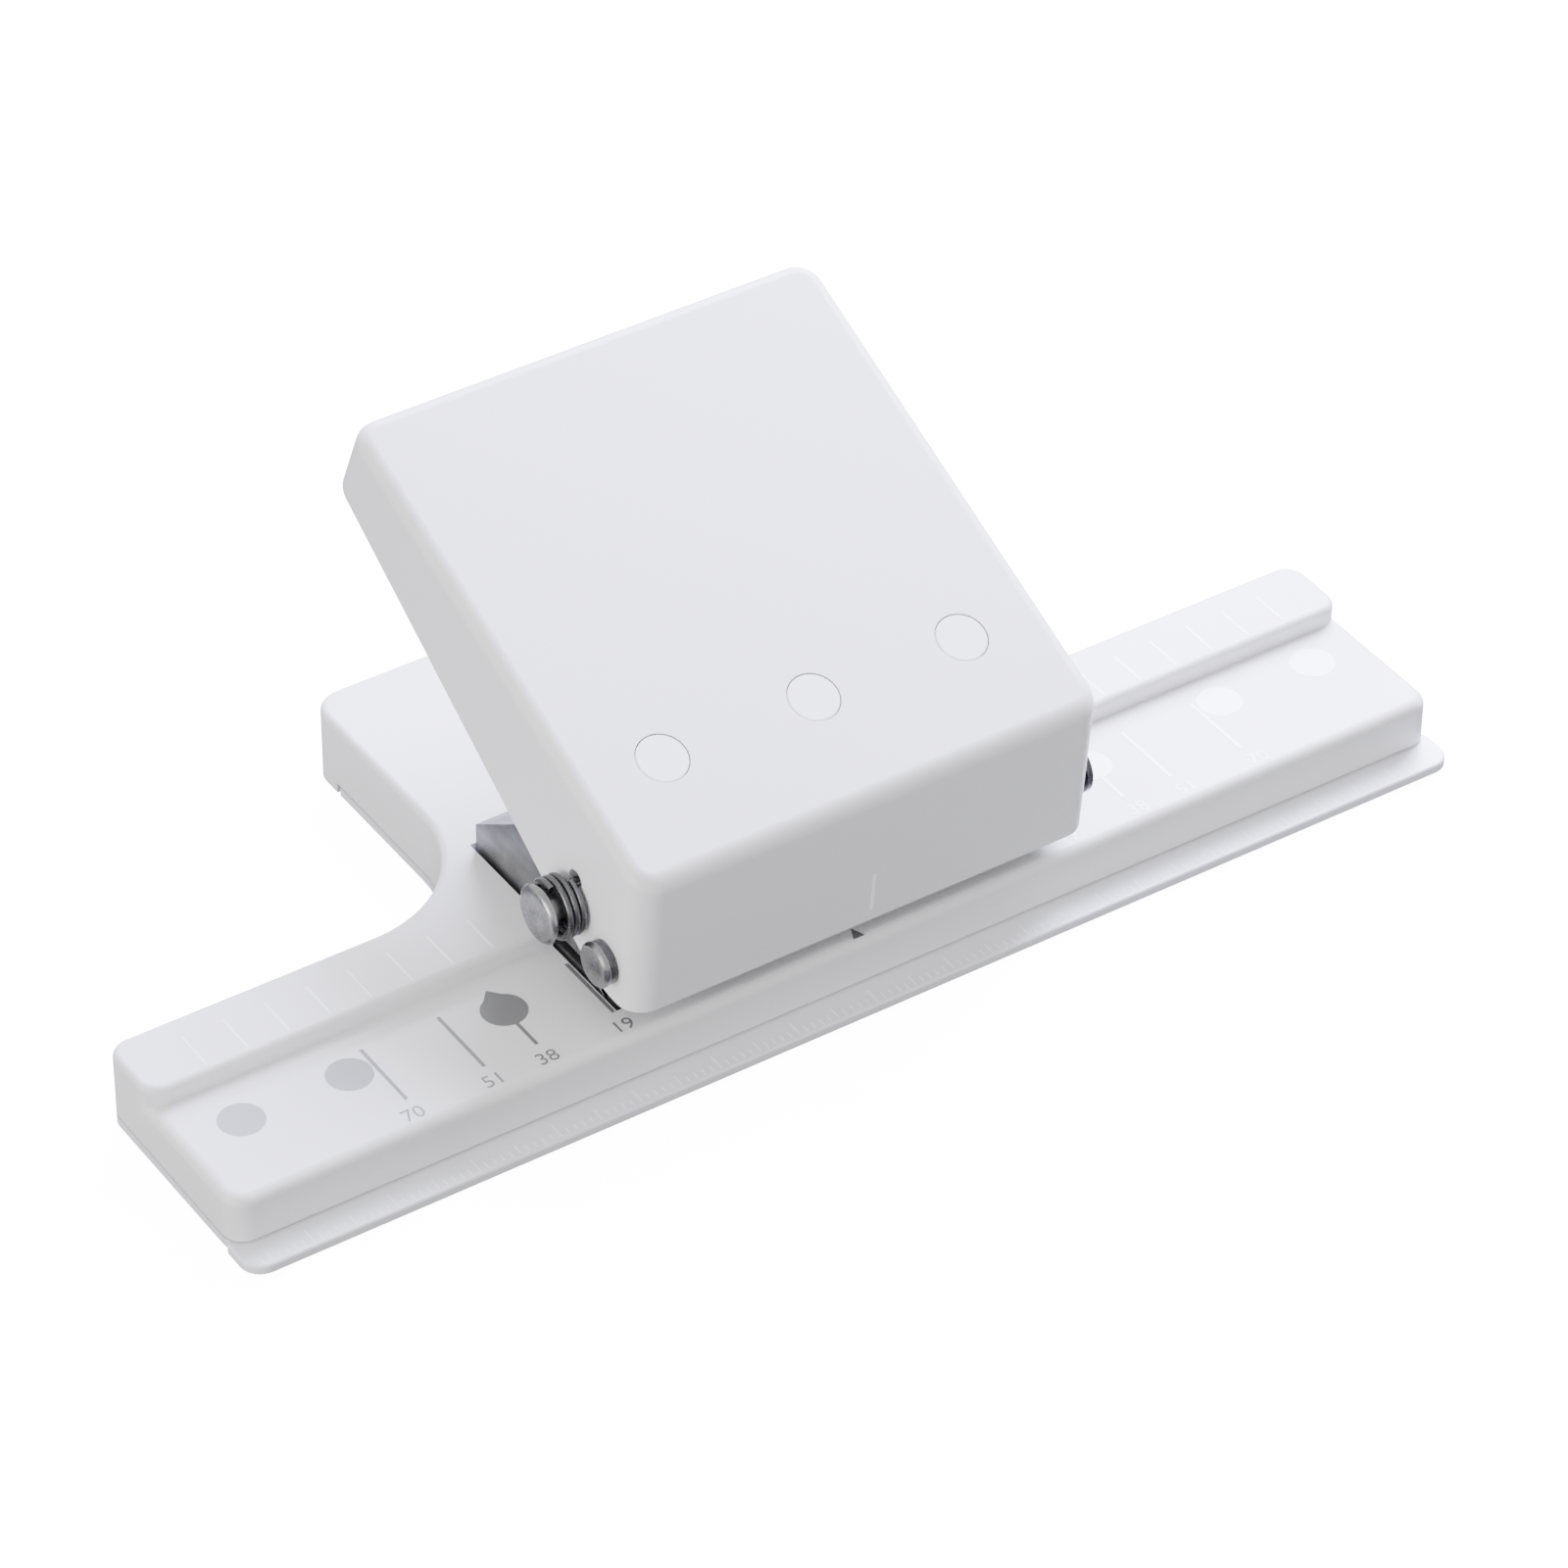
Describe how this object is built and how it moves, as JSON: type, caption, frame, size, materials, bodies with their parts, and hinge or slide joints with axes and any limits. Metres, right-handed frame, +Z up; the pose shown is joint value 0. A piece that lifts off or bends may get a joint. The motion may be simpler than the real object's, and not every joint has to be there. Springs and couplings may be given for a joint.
{
  "type": "three-hole lever punch",
  "caption": "Desk hole punch for organiser pages: flat T-shaped plastic base with a paper stop, steel punch frame and a raised wedge lever that drives a row of punches.",
  "frame": {"origin": "bottom centre of the punch's box, on the surface that it stands on", "axes": "+X runs along the paper stop, +Y points from the ruler lip to the stem, +Z up"},
  "size_m": [0.1556, 0.0698, 0.0535],
  "materials": {
    "white_plastic": "fine satin moulded ABS",
    "cover_plastic": "semi-matt flexible plastic",
    "dot_plastic": "smooth inlaid plastic",
    "rubber": "matt rubber",
    "brushed_steel": "brushed sheet steel",
    "bright_steel": "nickel-plated steel",
    "spring_steel": "drawn spring steel",
    "hardened_steel": "ground hardened steel"
  },
  "bodies": {
    "base": {"base_body": "white_plastic", "die_plate": "brushed_steel", "punch_frame": "brushed_steel", "guide_plate": "brushed_steel", "throat_stop": "brushed_steel", "guide_rivet_left": "bright_steel", "guide_rivet_right": "bright_steel", "frame_screw_1": "bright_steel", "frame_screw_2": "bright_steel", "frame_screw_3": "bright_steel", "frame_screw_4": "bright_steel", "hinge_pin": "bright_steel", "hinge_clip": "spring_steel", "hinge_washer_left": "spring_steel", "hinge_washer_right": "spring_steel", "cover_hinge_pin": "bright_steel"},
    "cover": {"bottom_cover": "cover_plastic", "foot_front_left": "rubber", "foot_front_right": "rubber", "foot_rear_left": "rubber", "foot_rear_right": "rubber"},
    "lever": {"lever": "white_plastic", "punch_dot_left": "dot_plastic", "punch_dot_centre": "dot_plastic", "punch_dot_right": "dot_plastic", "drive_axle": "bright_steel", "axle_clip": "spring_steel", "axle_washer_left": "bright_steel", "axle_washer_right": "bright_steel", "return_spring_left": "spring_steel", "return_spring_right": "spring_steel"},
    "punch_left": {"punch_pin_left": "hardened_steel"},
    "punch_centre": {"punch_pin_centre": "hardened_steel"},
    "punch_right": {"punch_pin_right": "hardened_steel"}
  },
  "joints": [
    {"name": "lever_hinge", "type": "hinge", "parent": "base", "child": "lever", "pos_m": [0, -0.0267, 0.0154], "axis": [-1, 0, 0], "range_deg": [0, 33], "stiffness_Nm_per_rad": 0.25, "springref_deg": -20.05},
    {"name": "cover_hinge", "type": "hinge", "parent": "base", "child": "cover", "pos_m": [0, 0.0315, 0.0019], "axis": [1, 0, 0], "range_deg": [0, 60]},
    {"name": "punch_slide_left", "type": "slide", "parent": "base", "child": "punch_left", "axis": [0, 0, -1], "range_m": [0, 0.0042]},
    {"name": "punch_slide_centre", "type": "slide", "parent": "base", "child": "punch_centre", "axis": [0, 0, -1], "range_m": [0, 0.0042]},
    {"name": "punch_slide_right", "type": "slide", "parent": "base", "child": "punch_right", "axis": [0, 0, -1], "range_m": [0, 0.0042]}
  ],
  "couplings": [
    {"joint": "punch_slide_left", "follows": "lever_hinge", "m_per_rad": 0.007183},
    {"joint": "punch_slide_centre", "follows": "lever_hinge", "m_per_rad": 0.007183},
    {"joint": "punch_slide_right", "follows": "lever_hinge", "m_per_rad": 0.007183}
  ]
}
